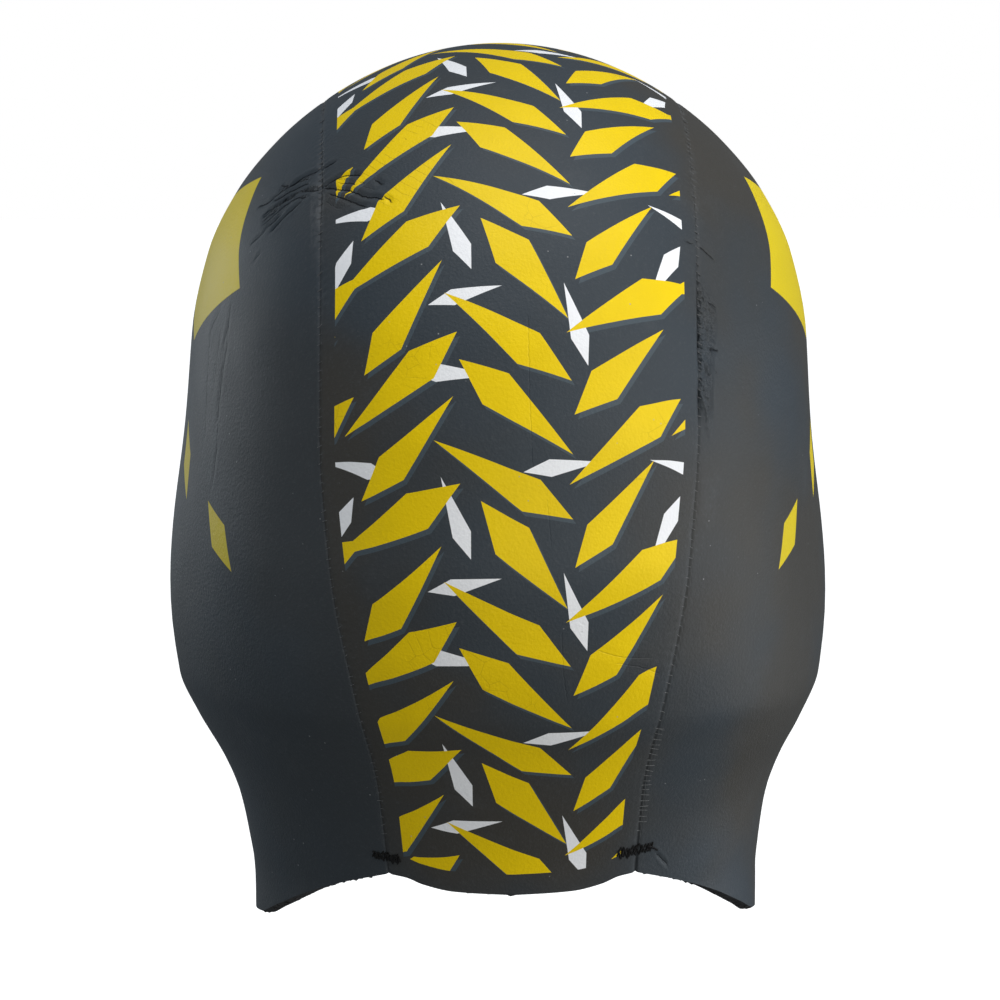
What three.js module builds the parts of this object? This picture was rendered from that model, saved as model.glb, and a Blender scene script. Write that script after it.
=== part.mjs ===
// Neoprene swim cap in its worn form: one printed panel from the forehead over the crown to the nape,
// and a side panel on each side of it that covers the ear and runs down to the jaw and the neck.
// Millimetres. The origin is the inside of the crown, +Z is up and the face opening looks along -Y.
import * as THREE from 'three';

// Driving dimensions. A drop is measured down from the outside of the crown, a depth from the middle of the head.
const WALL = 3; // neoprene sheet
const SEAM_GAP = 0.3; // between two panels, along X
const HEAD_WIDTH = 160; // above the ears
const BACK_DEPTH = 103; // to the back of the head
const FRONT_DEPTH = 98; // to the forehead
const JAW_DROP = 160; // where the head narrows to the neck
const NECK_LENGTH = 47; // from there down to the nape hem, at the middle
const NECK_WIDTH = 130;
const NAPE_DEPTH = 64; // to the back of the neck
const THROAT_DEPTH = 66; // to the front of the neck
const SECTION_POWER = 2.1; // 2 is a plain ellipse, more is squarer
const BROW_DROP = 74; // forehead hem, at the middle
const FLAP_OVERHANG = 15; // how much lower than the nape hem a side panel reaches
const SEAM_TO_SEAM_WIDTH = 90; // over the crown
const EAR_RISE = 4; // how far an ear pushes its side panel out
const EAR_DROP = 138;
const EAR_HEIGHT = 68;
const EAR_LENGTH = 56; // front to back

// Steps of the faceted surface
const SEAM_STEPS = 48;
const CENTRE_STEPS = 12;
const SIDE_STEPS = 20;
const PROFILE_STEPS = 400; // of the middle line, when it is measured

// Level sections of the head: drop as a share of JAW_DROP, width of HEAD_WIDTH, back of BACK_DEPTH and front of
// FRONT_DEPTH.
const HEAD_SECTIONS = [
  { drop: 0.0, width: 0.0, back: 0.0, front: 0.0 },
  { drop: 0.034, width: 0.345, back: 0.32, front: 0.316 },
  { drop: 0.083, width: 0.532, back: 0.488, front: 0.485 },
  { drop: 0.151, width: 0.7, back: 0.646, front: 0.648 },
  { drop: 0.234, width: 0.835, back: 0.777, front: 0.78 },
  { drop: 0.33, width: 0.927, back: 0.879, front: 0.878 },
  { drop: 0.454, width: 0.977, back: 0.956, front: 0.95 },
  { drop: 0.605, width: 0.99, back: 0.995, front: 0.995 },
  { drop: 0.756, width: 1.002, back: 0.993, front: 1.0 },
  { drop: 0.894, width: 1.005, back: 0.947, front: 0.98 },
  { drop: 1.0, width: 0.998, back: 0.88, front: 0.94 },
];

// Level sections of the neck: drop below JAW_DROP as a share of NECK_LENGTH, width of NECK_WIDTH, back of
// NAPE_DEPTH and front of THROAT_DEPTH.
const NECK_SECTIONS = [
  { drop: 0.22, width: 1.175, back: 1.31, front: 1.32 },
  { drop: 0.45, width: 1.094, back: 1.21, front: 1.21 },
  { drop: 0.66, width: 1.042, back: 1.125, front: 1.136 },
  { drop: 0.89, width: 1.015, back: 1.045, front: 1.075 },
  { drop: 1.1, width: 0.998, back: 0.992, front: 1.03 },
  { drop: 1.6, width: 0.997, back: 0.97, front: 1.0 },
];

// A seam's distance from the middle as a share of half of SEAM_TO_SEAM_WIDTH, along it from forehead to nape.
const SEAM_ROWS = [
  { along: 0.0, spread: 0.93 },
  { along: 0.25, spread: 0.99 },
  { along: 0.45, spread: 1.0 },
  { along: 0.68, spread: 0.995 },
  { along: 0.78, spread: 0.94 },
  { along: 0.86, spread: 0.825 },
  { along: 0.93, spread: 0.715 },
  { along: 1.0, spread: 0.675 },
];

// Hems of the centre panel, across from the middle to the seam: drop as a share of the one at the middle.
const BROW_HEM = [
  { across: 0.0, drop: 1.0 },
  { across: 1.0, drop: 1.02 },
];
const NAPE_HEM = [
  { across: 0.0, drop: 1.0 },
  { across: 0.48, drop: 0.9965 },
  { across: 0.72, drop: 0.989 },
  { across: 0.86, drop: 0.981 },
  { across: 1.0, drop: 0.978 },
];

// Hem of a side panel, along it from the forehead seam down in front of the ear, round the jaw and up to the nape
// seam. round is the share of the turn about +Z from one seam end to the other, and down is 1 at the lowest point
// and 0 at the height of the nearer seam end.
const FLAP_ROWS = [
  { along: 0.0, round: 0.0, down: 0.0 },
  { along: 0.1, round: 0.06, down: 0.13 },
  { along: 0.2, round: 0.115, down: 0.3 },
  { along: 0.3, round: 0.165, down: 0.48 },
  { along: 0.38, round: 0.22, down: 0.64 },
  { along: 0.46, round: 0.29, down: 0.8 },
  { along: 0.54, round: 0.385, down: 0.93 },
  { along: 0.62, round: 0.5, down: 1.0 },
  { along: 0.7, round: 0.61, down: 0.93 },
  { along: 0.78, round: 0.71, down: 0.7 },
  { along: 0.86, round: 0.81, down: 0.42 },
  { along: 0.93, round: 0.91, down: 0.18 },
  { along: 1.0, round: 1.0, down: 0.0 },
];
const FLAP_TIP = 0.62; // along the hem

const NAPE_DROP = JAW_DROP + NECK_LENGTH;
const FLAP_DROP = NAPE_DROP + FLAP_OVERHANG;
const CROWN_TOP = WALL;
const HEART = new THREE.Vector3(0, 0, CROWN_TOP - 0.5 * NAPE_DROP); // the whole wall is seen from here

// A curve through the rows of a table that never overshoots between two rows. Values go through it raised to a
// power, so that a dome, whose width grows as a square root, stays round at its top.
function curveThrough(rows, from, to, power = 1) {
  const xs = rows.map((row) => row[from]);
  const ys = rows.map((row) => row[to] ** power);
  const rises = xs.slice(1).map((x, i) => (ys[i + 1] - ys[i]) / (x - xs[i]));
  const slopes = xs.map((x, i) => {
    if (i === 0) return rises[0];
    if (i === rises.length) return rises[i - 1];
    const turns = rises[i - 1] * rises[i] <= 0;
    return turns ? 0 : 2 / (1 / rises[i - 1] + 1 / rises[i]);
  });
  return (x) => {
    const beyond = xs.findIndex((edge, i) => i > 0 && x < edge);
    const i = (beyond < 0 ? xs.length - 1 : beyond) - 1;
    const width = xs[i + 1] - xs[i];
    const t = THREE.MathUtils.clamp((x - xs[i]) / width, 0, 1);
    const value =
      (1 + 2 * t) * (1 - t) ** 2 * ys[i] +
      t * (1 - t) ** 2 * width * slopes[i] +
      t * t * (3 - 2 * t) * ys[i + 1] +
      t * t * (t - 1) * width * slopes[i + 1];
    return value ** (1 / power);
  };
}

// Level sections, in millimetres
const sections = [
  ...HEAD_SECTIONS.map((row) => ({
    drop: row.drop * JAW_DROP,
    half: (row.width * HEAD_WIDTH) / 2,
    back: row.back * BACK_DEPTH,
    front: row.front * FRONT_DEPTH,
  })),
  ...NECK_SECTIONS.map((row) => ({
    drop: JAW_DROP + row.drop * NECK_LENGTH,
    half: (row.width * NECK_WIDTH) / 2,
    back: row.back * NAPE_DEPTH,
    front: row.front * THROAT_DEPTH,
  })),
];
const halfAt = curveThrough(sections, 'drop', 'half', 2);
const backAt = curveThrough(sections, 'drop', 'back', 2);
const frontAt = curveThrough(sections, 'drop', 'front', 2);

// Below 1 inside the head's level section at this height, 1 on it and above 1 outside it
function reach(x, y, z) {
  const drop = CROWN_TOP - z;
  if (drop <= 0) return Infinity;
  const depth = y > 0 ? backAt(drop) : frontAt(drop);
  return (Math.abs(x) / halfAt(drop)) ** SECTION_POWER + (Math.abs(y) / depth) ** SECTION_POWER;
}

// The point where a ray from a start inside the head leaves it
function leave(start, direction) {
  let near = 0;
  let far = HEAD_WIDTH + BACK_DEPTH + FLAP_DROP;
  const point = new THREE.Vector3();
  for (let halving = 0; halving < 44; halving += 1) {
    const middle = (near + far) / 2;
    point.copy(start).addScaledVector(direction, middle);
    if (reach(point.x, point.y, point.z) < 1) near = middle;
    else far = middle;
  }
  return point;
}

// The outside of the cap in a direction from the heart: the head's section, pushed out over the ear
function outside(direction) {
  const point = leave(HEART, direction);
  const height = (CROWN_TOP - point.z - EAR_DROP) / (EAR_HEIGHT / 2);
  const length = point.y / (EAR_LENGTH / 2);
  const side = Math.sign(point.x) * THREE.MathUtils.smoothstep(Math.abs(point.x), 0, HEAD_WIDTH / 2);
  point.x += side * EAR_RISE * Math.exp(-height * height - length * length);
  return point;
}

const TILT = 0.004; // turn of a direction that measures the slope of the surface

// A point of the wall's outside with the one under it on the inside, square through the sheet
function through(onHead) {
  const direction = onHead.clone().sub(HEART).normalize();
  const aside = new THREE.Vector3(-direction.y, direction.x, 0);
  if (aside.length() < TILT) aside.set(1, 0, 0);
  aside.normalize();
  const across = new THREE.Vector3().crossVectors(direction, aside);
  const slopeAlong = (turn) =>
    outside(direction.clone().addScaledVector(turn, TILT).normalize()).sub(
      outside(direction.clone().addScaledVector(turn, -TILT).normalize()),
    );
  const normal = new THREE.Vector3().crossVectors(slopeAlong(aside), slopeAlong(across)).normalize();
  const outer = outside(direction);
  return { outer, inner: outer.clone().addScaledVector(normal, -WALL) };
}

// The back or front of the head's section at a distance x from the middle
function depthAt(x, drop, facing) {
  const depth = facing > 0 ? backAt(drop) : frontAt(drop);
  return facing * depth * (1 - (Math.abs(x) / halfAt(drop)) ** SECTION_POWER) ** (1 / SECTION_POWER);
}

const spreadAt = curveThrough(SEAM_ROWS, 'along', 'spread');
const browHem = curveThrough(BROW_HEM, 'across', 'drop');
const napeHem = curveThrough(NAPE_HEM, 'across', 'drop');
const seamX = (along) => (SEAM_TO_SEAM_WIDTH / 2) * spreadAt(along);

// Both ends of the lengthwise line at a share across the centre panel, as a turn about X from the front over the
// crown to the back
function endTurns(across) {
  const turnOf = (x, drop, facing) => {
    const y = depthAt(x, drop, facing);
    return Math.atan2(CROWN_TOP - drop - HEART.z, -y);
  };
  const brow = turnOf(across * seamX(0), BROW_DROP * browHem(Math.abs(across)), -1);
  const nape = turnOf(across * seamX(1), NAPE_DROP * napeHem(Math.abs(across)), 1);
  return { brow, nape: nape < 0 ? nape + 2 * Math.PI : nape };
}

// The turn of each step along the middle line, with even steps along the head
function evenTurns() {
  const { brow, nape } = endTurns(0);
  const samples = Array.from({ length: PROFILE_STEPS + 1 }, (_, i) => brow + ((nape - brow) * i) / PROFILE_STEPS);
  const points = samples.map((turn) => leave(HEART, new THREE.Vector3(0, -Math.cos(turn), Math.sin(turn))));
  const lengths = [0];
  points.slice(1).forEach((point, i) => lengths.push(lengths[i] + point.distanceTo(points[i])));
  const rows = samples.map((turn, i) => ({ along: lengths[i] / lengths.at(-1), turn }));
  const turnAt = curveThrough(rows, 'along', 'turn');
  return Array.from({ length: SEAM_STEPS + 1 }, (_, i) => turnAt(i / SEAM_STEPS));
}
const middleTurns = evenTurns();
const middleEnds = endTurns(0);

// A point of the head on the lengthwise line at a share across, moved aside from it by a clearance
function onLine(step, across, aside = 0) {
  const ends = endTurns(across);
  const share = (middleTurns[step] - middleEnds.brow) / (middleEnds.nape - middleEnds.brow);
  const turn = ends.brow + (ends.nape - ends.brow) * share;
  const start = new THREE.Vector3(across * seamX(step / SEAM_STEPS) + aside, 0, HEART.z);
  return leave(start, new THREE.Vector3(0, -Math.cos(turn), Math.sin(turn)));
}

const roundAt = curveThrough(FLAP_ROWS, 'along', 'round');
const downAt = curveThrough(FLAP_ROWS, 'along', 'down');

// A point of the head on the hem of the left side panel
function onFlapHem(step) {
  const along = step / SEAM_STEPS;
  const front = onLine(0, 1, SEAM_GAP / 2);
  const back = onLine(SEAM_STEPS, 1, SEAM_GAP / 2);
  const nearer = along < FLAP_TIP ? front : back;
  const drop = THREE.MathUtils.lerp(CROWN_TOP - nearer.z, FLAP_DROP, downAt(along));
  const turn = THREE.MathUtils.lerp(Math.atan2(front.y, front.x), Math.atan2(back.y, back.x), roundAt(along));
  return leave(new THREE.Vector3(0, 0, CROWN_TOP - drop), new THREE.Vector3(Math.cos(turn), Math.sin(turn), 0));
}

// A closed wall from rows of point pairs. Where all points of a row meet in a corner, the faces between them have
// no area and are left out.
function wall(rows, mirrored, material, name) {
  const positions = [];
  const known = new Map();
  const indexOf = (point) => {
    const key = point.toArray().map((value) => value.toFixed(4)).join();
    if (!known.has(key)) {
      known.set(key, known.size);
      positions.push(mirrored ? -point.x : point.x, point.y, point.z);
    }
    return known.get(key);
  };
  const outer = rows.map((row) => row.map((pair) => indexOf(pair.outer)));
  const inner = rows.map((row) => row.map((pair) => indexOf(pair.inner)));
  const faces = [];
  const triangle = (a, b, c) => {
    if (a !== b && b !== c && c !== a) faces.push(...(mirrored ? [a, c, b] : [a, b, c]));
  };
  const quad = (a, b, c, d) => {
    triangle(a, b, c);
    triangle(a, c, d);
  };
  const last = rows.length - 1;
  const edge = rows[0].length - 1;
  for (let i = 0; i < last; i += 1) {
    for (let j = 0; j < edge; j += 1) {
      quad(outer[i][j], outer[i][j + 1], outer[i + 1][j + 1], outer[i + 1][j]);
      quad(inner[i][j], inner[i + 1][j], inner[i + 1][j + 1], inner[i][j + 1]);
    }
    quad(outer[i][0], outer[i + 1][0], inner[i + 1][0], inner[i][0]);
    quad(outer[i + 1][edge], outer[i][edge], inner[i][edge], inner[i + 1][edge]);
  }
  for (let j = 0; j < edge; j += 1) {
    quad(outer[0][j + 1], outer[0][j], inner[0][j], inner[0][j + 1]);
    quad(outer[last][j], outer[last][j + 1], inner[last][j + 1], inner[last][j]);
  }
  const geometry = new THREE.BufferGeometry();
  geometry.setAttribute('position', new THREE.Float32BufferAttribute(positions, 3));
  geometry.setIndex(faces);
  geometry.computeVertexNormals();
  const mesh = new THREE.Mesh(geometry, material);
  mesh.name = name;
  return mesh;
}

// Rows of the centre panel, from one seam across to the other
function centreRows() {
  return middleTurns.map((_, step) =>
    Array.from({ length: CENTRE_STEPS + 1 }, (_, j) => {
      const across = (2 * j) / CENTRE_STEPS - 1;
      return through(onLine(step, across, (-across * SEAM_GAP) / 2));
    }),
  );
}

// Rows of the left side panel, from the seam down to the hem, along great circles about the heart
function sideRows() {
  return middleTurns.map((_, step) => {
    const seam = onLine(step, 1, SEAM_GAP / 2).sub(HEART).normalize();
    const hem = onFlapHem(step).sub(HEART).normalize();
    const angle = seam.angleTo(hem);
    return Array.from({ length: SIDE_STEPS + 1 }, (_, j) => {
      const share = j / SIDE_STEPS;
      const direction = seam.clone();
      if (angle > TILT) {
        direction.multiplyScalar(Math.sin((1 - share) * angle)).addScaledVector(hem, Math.sin(share * angle));
      }
      return through(leave(HEART, direction.normalize()));
    });
  });
}

const smoothSkin = (color) => new THREE.MeshStandardMaterial({ color, roughness: 0.45, metalness: 0 });
const side = sideRows();

const group = new THREE.Group();
group.add(
  wall(centreRows(), false, smoothSkin(0x40444a), 'centre_panel'),
  wall(side, false, smoothSkin(0x2c3034), 'left_side_panel'),
  wall(side, true, smoothSkin(0x2c3034), 'right_side_panel'),
);
export default group;
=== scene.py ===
"""A neoprene swim cap in its worn form, seen from behind: three panels of smooth-skin neoprene with a jersey lining
and a cut foam edge, joined by two stitched seams with a bar tack at the foot of each, and a screen print of leaning
kites on the centre panel. Metres; the origin is the inside of the crown, +Z is up and the face opening looks
along -Y.
"""

import math

import bmesh
import bpy
import numpy as np
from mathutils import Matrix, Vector

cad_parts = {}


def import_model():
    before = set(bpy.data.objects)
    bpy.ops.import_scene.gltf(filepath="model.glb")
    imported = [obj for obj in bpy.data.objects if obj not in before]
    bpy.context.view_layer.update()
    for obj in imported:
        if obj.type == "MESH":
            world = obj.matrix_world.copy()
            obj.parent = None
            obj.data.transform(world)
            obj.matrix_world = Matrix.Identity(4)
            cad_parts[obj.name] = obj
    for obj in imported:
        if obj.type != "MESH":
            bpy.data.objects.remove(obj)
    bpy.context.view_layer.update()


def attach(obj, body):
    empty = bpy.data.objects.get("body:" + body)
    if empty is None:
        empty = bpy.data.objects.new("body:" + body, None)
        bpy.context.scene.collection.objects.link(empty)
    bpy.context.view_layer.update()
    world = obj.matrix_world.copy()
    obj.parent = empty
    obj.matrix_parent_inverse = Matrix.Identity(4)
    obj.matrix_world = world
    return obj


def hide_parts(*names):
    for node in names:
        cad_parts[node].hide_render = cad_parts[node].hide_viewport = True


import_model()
MM = 0.001

# Sizes of the worn cap. A drop is measured down from the outside of the crown, a depth from the middle of the head.
# The seam gap is narrower than the 0.3 mm of the plain panels, because the glued edges are seen to meet.
WALL = 3 * MM
SEAM_GAP = 0.05 * MM
HEAD_WIDTH = 160 * MM
BACK_DEPTH = 103 * MM
FRONT_DEPTH = 98 * MM
JAW_DROP = 160 * MM
NECK_LENGTH = 47 * MM
NECK_WIDTH = 130 * MM
NAPE_DEPTH = 64 * MM
THROAT_DEPTH = 66 * MM
SECTION_POWER = 2.1
BROW_DROP = 74 * MM
FLAP_OVERHANG = 15 * MM
SEAM_TO_SEAM_WIDTH = 90 * MM
EAR_RISE = 4 * MM
EAR_DROP = 138 * MM
EAR_HEIGHT = 68 * MM
EAR_LENGTH = 56 * MM

# Level sections of the head: drop as a share of JAW_DROP, width of HEAD_WIDTH, back of BACK_DEPTH, front of
# FRONT_DEPTH
HEAD_SECTIONS = [
    (0.0, 0.0, 0.0, 0.0),
    (0.034, 0.345, 0.32, 0.316),
    (0.083, 0.532, 0.488, 0.485),
    (0.151, 0.7, 0.646, 0.648),
    (0.234, 0.835, 0.777, 0.78),
    (0.33, 0.927, 0.879, 0.878),
    (0.454, 0.977, 0.956, 0.95),
    (0.605, 0.99, 0.995, 0.995),
    (0.756, 1.002, 0.993, 1.0),
    (0.894, 1.005, 0.947, 0.98),
    (1.0, 0.998, 0.88, 0.94),
]

# Level sections of the neck: drop below JAW_DROP as a share of NECK_LENGTH, width of NECK_WIDTH, back of NAPE_DEPTH,
# front of THROAT_DEPTH
NECK_SECTIONS = [
    (0.22, 1.175, 1.31, 1.32),
    (0.45, 1.094, 1.21, 1.21),
    (0.66, 1.042, 1.125, 1.136),
    (0.89, 1.015, 1.045, 1.075),
    (1.1, 0.998, 0.992, 1.03),
    (1.6, 0.997, 0.97, 1.0),
]

# A seam's distance from the middle as a share of half of SEAM_TO_SEAM_WIDTH, along it from forehead to nape
SEAM_ROWS = [
    (0.0, 0.93),
    (0.25, 0.99),
    (0.45, 1.0),
    (0.68, 0.995),
    (0.78, 0.94),
    (0.86, 0.825),
    (0.93, 0.715),
    (1.0, 0.675),
]

# Hems of the centre panel, across from the middle to the seam: drop as a share of the one at the middle
BROW_HEM = [(0.0, 1.0), (1.0, 1.02)]
NAPE_HEM = [(0.0, 1.0), (0.48, 0.9965), (0.72, 0.989), (0.86, 0.981), (1.0, 0.978)]

# Hem of a side panel, along it from the forehead seam to the nape seam: share of the turn about +Z, and how far down
# from the height of the nearer seam end, 0, to the lowest point, 1
FLAP_ROWS = [
    (0.0, 0.0, 0.0),
    (0.1, 0.06, 0.13),
    (0.2, 0.115, 0.3),
    (0.3, 0.165, 0.48),
    (0.38, 0.22, 0.64),
    (0.46, 0.29, 0.8),
    (0.54, 0.385, 0.93),
    (0.62, 0.5, 1.0),
    (0.7, 0.61, 0.93),
    (0.78, 0.71, 0.7),
    (0.86, 0.81, 0.42),
    (0.93, 0.91, 0.18),
    (1.0, 1.0, 0.0),
]
FLAP_TIP = 0.62

NAPE_DROP = JAW_DROP + NECK_LENGTH
FLAP_DROP = NAPE_DROP + FLAP_OVERHANG
CROWN_TOP = WALL
HEART = np.array([0, 0, CROWN_TOP - 0.5 * NAPE_DROP])
TILT = 0.004
HALVINGS = 32
PROFILE_STEPS = 400

# How far the worn cap leans to its left at a drop
LEAN_ROWS = [(0.0, 0.0), (60 * MM, 0.3 * MM), (110 * MM, 0.7 * MM), (160 * MM, 0.2 * MM), (215 * MM, -1.4 * MM)]

# Steps of the fine meshes: place as a share of the way, step
ROW_STEPS = [
    (0.0, 1.5 * MM),
    (0.35, 1.1 * MM),
    (0.43, 0.5 * MM),
    (0.58, 0.5 * MM),
    (0.66, 0.75 * MM),
    (1.0, 0.75 * MM),
]
ACROSS_STEPS = [
    (0.0, 0.35 * MM),
    (0.06, 0.9 * MM),
    (0.2, 2.0 * MM),
    (0.66, 1.7 * MM),
    (0.78, 0.7 * MM),
    (0.96, 0.6 * MM),
    (1.0, 0.35 * MM),
]
ASIDE_STEPS = [
    (0.0, 0.35 * MM),
    (0.03, 0.6 * MM),
    (0.18, 0.75 * MM),
    (0.28, 2.4 * MM),
    (0.93, 3.0 * MM),
    (1.0, 1.0 * MM),
]
ASIDE_REACH = 130 * MM


def curve_through(rows, power=1):
    """A curve through rows of (x, y) that never overshoots between two rows."""
    xs, ys = np.array(rows, float).T
    ys = ys**power
    rises = np.diff(ys) / np.diff(xs)
    before, after = rises[:-1], rises[1:]
    turns = before * after <= 0
    inner = np.where(turns, 0, 2 * before * after / np.where(turns, 1, before + after))
    slopes = np.concatenate([rises[:1], inner, rises[-1:]])

    def at(x):
        i = np.clip(np.searchsorted(xs, x, side="right") - 1, 0, len(xs) - 2)
        width = xs[i + 1] - xs[i]
        t = np.clip((x - xs[i]) / width, 0, 1)
        value = (1 + 2 * t) * (1 - t) ** 2 * ys[i] + t * (1 - t) ** 2 * width * slopes[i]
        value += t * t * (3 - 2 * t) * ys[i + 1] + t * t * (t - 1) * width * slopes[i + 1]
        return np.maximum(value, 0) ** (1 / power) if power != 1 else value

    return at


def section_rows(column, head_size, neck_size):
    """Rows of (drop, size) of one column of the level sections, head and neck."""
    head = [(row[0] * JAW_DROP, row[column] * head_size) for row in HEAD_SECTIONS]
    neck = [(JAW_DROP + row[0] * NECK_LENGTH, row[column] * neck_size) for row in NECK_SECTIONS]
    return head + neck


half_at = curve_through(section_rows(1, HEAD_WIDTH / 2, NECK_WIDTH / 2), 2)
back_at = curve_through(section_rows(2, BACK_DEPTH, NAPE_DEPTH), 2)
front_at = curve_through(section_rows(3, FRONT_DEPTH, THROAT_DEPTH), 2)
spread_at = curve_through(SEAM_ROWS)
brow_hem = curve_through(BROW_HEM)
nape_hem = curve_through(NAPE_HEM)
round_at = curve_through([(row[0], row[1]) for row in FLAP_ROWS])
down_at = curve_through([(row[0], row[2]) for row in FLAP_ROWS])
lean_at = curve_through(LEAN_ROWS)


def unit(vectors):
    """The same directions, one long."""
    return vectors / np.maximum(np.linalg.norm(vectors, axis=-1, keepdims=True), 1e-12)


def smooth(t):
    """An even rise from 0 to 1."""
    t = np.clip(t, 0, 1)
    return t * t * (3 - 2 * t)


def inside(points):
    """Where points lie inside the head's level sections."""
    drop = CROWN_TOP - points[..., 2]
    depth = np.where(points[..., 1] > 0, back_at(drop), front_at(drop))
    wide = np.abs(points[..., 0]) / np.maximum(half_at(drop), 1e-9)
    deep = np.abs(points[..., 1]) / np.maximum(depth, 1e-9)
    return (drop > 0) & (wide**SECTION_POWER + deep**SECTION_POWER < 1)


def leave(start, direction):
    """The points where rays from inside the head leave it."""
    start, direction = np.broadcast_arrays(start, direction)
    near = np.zeros(direction.shape[:-1])
    far = near + HEAD_WIDTH + BACK_DEPTH + FLAP_DROP
    for _ in range(HALVINGS):
        middle = (near + far) / 2
        still = inside(start + direction * middle[..., None])
        near = np.where(still, middle, near)
        far = np.where(still, far, middle)
    return start + direction * near[..., None]


def outside(direction):
    """The outside of the cap in directions from the heart: the head's section, pushed out over the ear."""
    points = leave(HEART, direction)
    height = (CROWN_TOP - points[..., 2] - EAR_DROP) / (EAR_HEIGHT / 2)
    length = points[..., 1] / (EAR_LENGTH / 2)
    side = np.sign(points[..., 0]) * smooth(np.abs(points[..., 0]) / (HEAD_WIDTH / 2))
    points[..., 0] += side * EAR_RISE * np.exp(-height * height - length * length)
    return points


def through(on_head):
    """Points of the wall's outside, with the directions square out of the sheet."""
    direction = unit(on_head - HEART)
    aside = np.stack([-direction[..., 1], direction[..., 0], 0 * direction[..., 0]], -1)
    flat = np.linalg.norm(aside, axis=-1) < TILT
    aside[flat] = (1, 0, 0)
    aside = unit(aside)
    across = np.cross(direction, aside)

    def slope(turn):
        return outside(unit(direction + turn * TILT)) - outside(unit(direction - turn * TILT))

    return outside(direction), unit(np.cross(slope(aside), slope(across)))


def seam_x(along):
    return SEAM_TO_SEAM_WIDTH / 2 * spread_at(along)


def turn_of(x, drop, facing):
    """The turn about X of a point of the head at a distance x from the middle."""
    depth = back_at(drop) if facing > 0 else front_at(drop)
    y = facing * depth * (1 - (np.abs(x) / half_at(drop)) ** SECTION_POWER) ** (1 / SECTION_POWER)
    return np.arctan2(CROWN_TOP - drop - HEART[2], -y)


def end_turns(across):
    """Both ends of the lengthwise line at a share across the centre panel."""
    brow = turn_of(across * seam_x(0.0), BROW_DROP * brow_hem(np.abs(across)), -1)
    nape = turn_of(across * seam_x(1.0), NAPE_DROP * nape_hem(np.abs(across)), 1)
    return brow, np.where(nape < 0, nape + 2 * math.pi, nape)


def middle_line():
    """The turn at a share of the middle line, and the line's length."""
    brow, nape = end_turns(np.array(0.0))
    turns = np.linspace(brow, nape, PROFILE_STEPS + 1)
    direction = np.stack([0 * turns, -np.cos(turns), np.sin(turns)], -1)
    steps = np.linalg.norm(np.diff(leave(HEART, direction), axis=0), axis=1)
    lengths = np.concatenate([[0], np.cumsum(steps)])
    return curve_through(np.stack([lengths / lengths[-1], turns], -1)), lengths[-1]


turn_at, MIDDLE_LENGTH = middle_line()


def on_line(along, across, aside=0.0):
    """Points of the head on the lengthwise line at a share across, moved aside from it by a clearance."""
    brow, nape = end_turns(across)
    first, last = end_turns(np.array(0.0))
    share = (turn_at(along) - first) / (last - first)
    turn = brow + (nape - brow) * share
    x = across * seam_x(along) + aside
    start = np.stack([x, 0 * x, 0 * x + HEART[2]], -1)
    return leave(start, np.stack([0 * turn, -np.cos(turn), np.sin(turn)], -1))


def on_flap_hem(along):
    """Points of the head on the hem of the left side panel."""
    ends = on_line(np.array([0.0, 1.0]), np.array([1.0, 1.0]), SEAM_GAP / 2)
    front, back = ends
    nearer = np.where(along < FLAP_TIP, front[2], back[2])
    start_drop = CROWN_TOP - nearer
    drop = start_drop + (FLAP_DROP - start_drop) * down_at(along)
    turns = np.arctan2(ends[:, 1], ends[:, 0])
    turn = turns[0] + (turns[1] - turns[0]) * round_at(along)
    start = np.stack([0 * drop, 0 * drop, CROWN_TOP - drop], -1)
    return leave(start, np.stack([np.cos(turn), np.sin(turn), 0 * turn], -1))


def spaced(length, rows):
    """Shares of a length whose steps follow rows of (share, step)."""
    shares = np.linspace(0, 1, 4001)
    places, steps = np.array(rows).T
    density = length / np.interp(shares, places, steps)
    count = np.concatenate([[0], np.cumsum((density[1:] + density[:-1]) / 2) * shares[1]])
    whole = int(round(count[-1]))
    return np.interp(np.arange(whole + 1) / whole * count[-1], count, shares)


ALONG = spaced(MIDDLE_LENGTH, ROW_STEPS)


class Sheet:
    """A panel as a grid of points on the wall's outside, rows along the seam and columns across it, with the
    direction square out of it, and the places of its points on the flat sheet: across, along, distance from the
    seam and from the hem."""

    def __init__(self, on_head, across_is_signed):
        self.outer, self.normal = through(on_head)
        steps = np.linalg.norm(np.diff(self.outer, axis=1), axis=2)
        run = np.concatenate([np.zeros((len(steps), 1)), np.cumsum(steps, axis=1)], axis=1)
        lengths = np.linalg.norm(np.diff(self.outer, axis=0), axis=2)
        rise = np.concatenate([np.zeros((1, lengths.shape[1])), np.cumsum(lengths, axis=0)])
        self.along = np.broadcast_to((ALONG * MIDDLE_LENGTH)[:, None], run.shape).copy()
        if across_is_signed:
            self.across = run - run[:, -1:] / 2
            self.seam = np.minimum(run, run[:, -1:] - run)
            self.hem = np.minimum(rise, rise[-1:] - rise)
        else:
            self.across = run
            self.seam = run
            self.hem = run[:, -1:] - run


def centre_sheet():
    across = spaced(SEAM_TO_SEAM_WIDTH, ACROSS_STEPS) * 2 - 1
    grid_along, grid_across = np.meshgrid(ALONG, across, indexing="ij")
    return Sheet(on_line(grid_along, grid_across, -grid_across * SEAM_GAP / 2), True)


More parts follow.
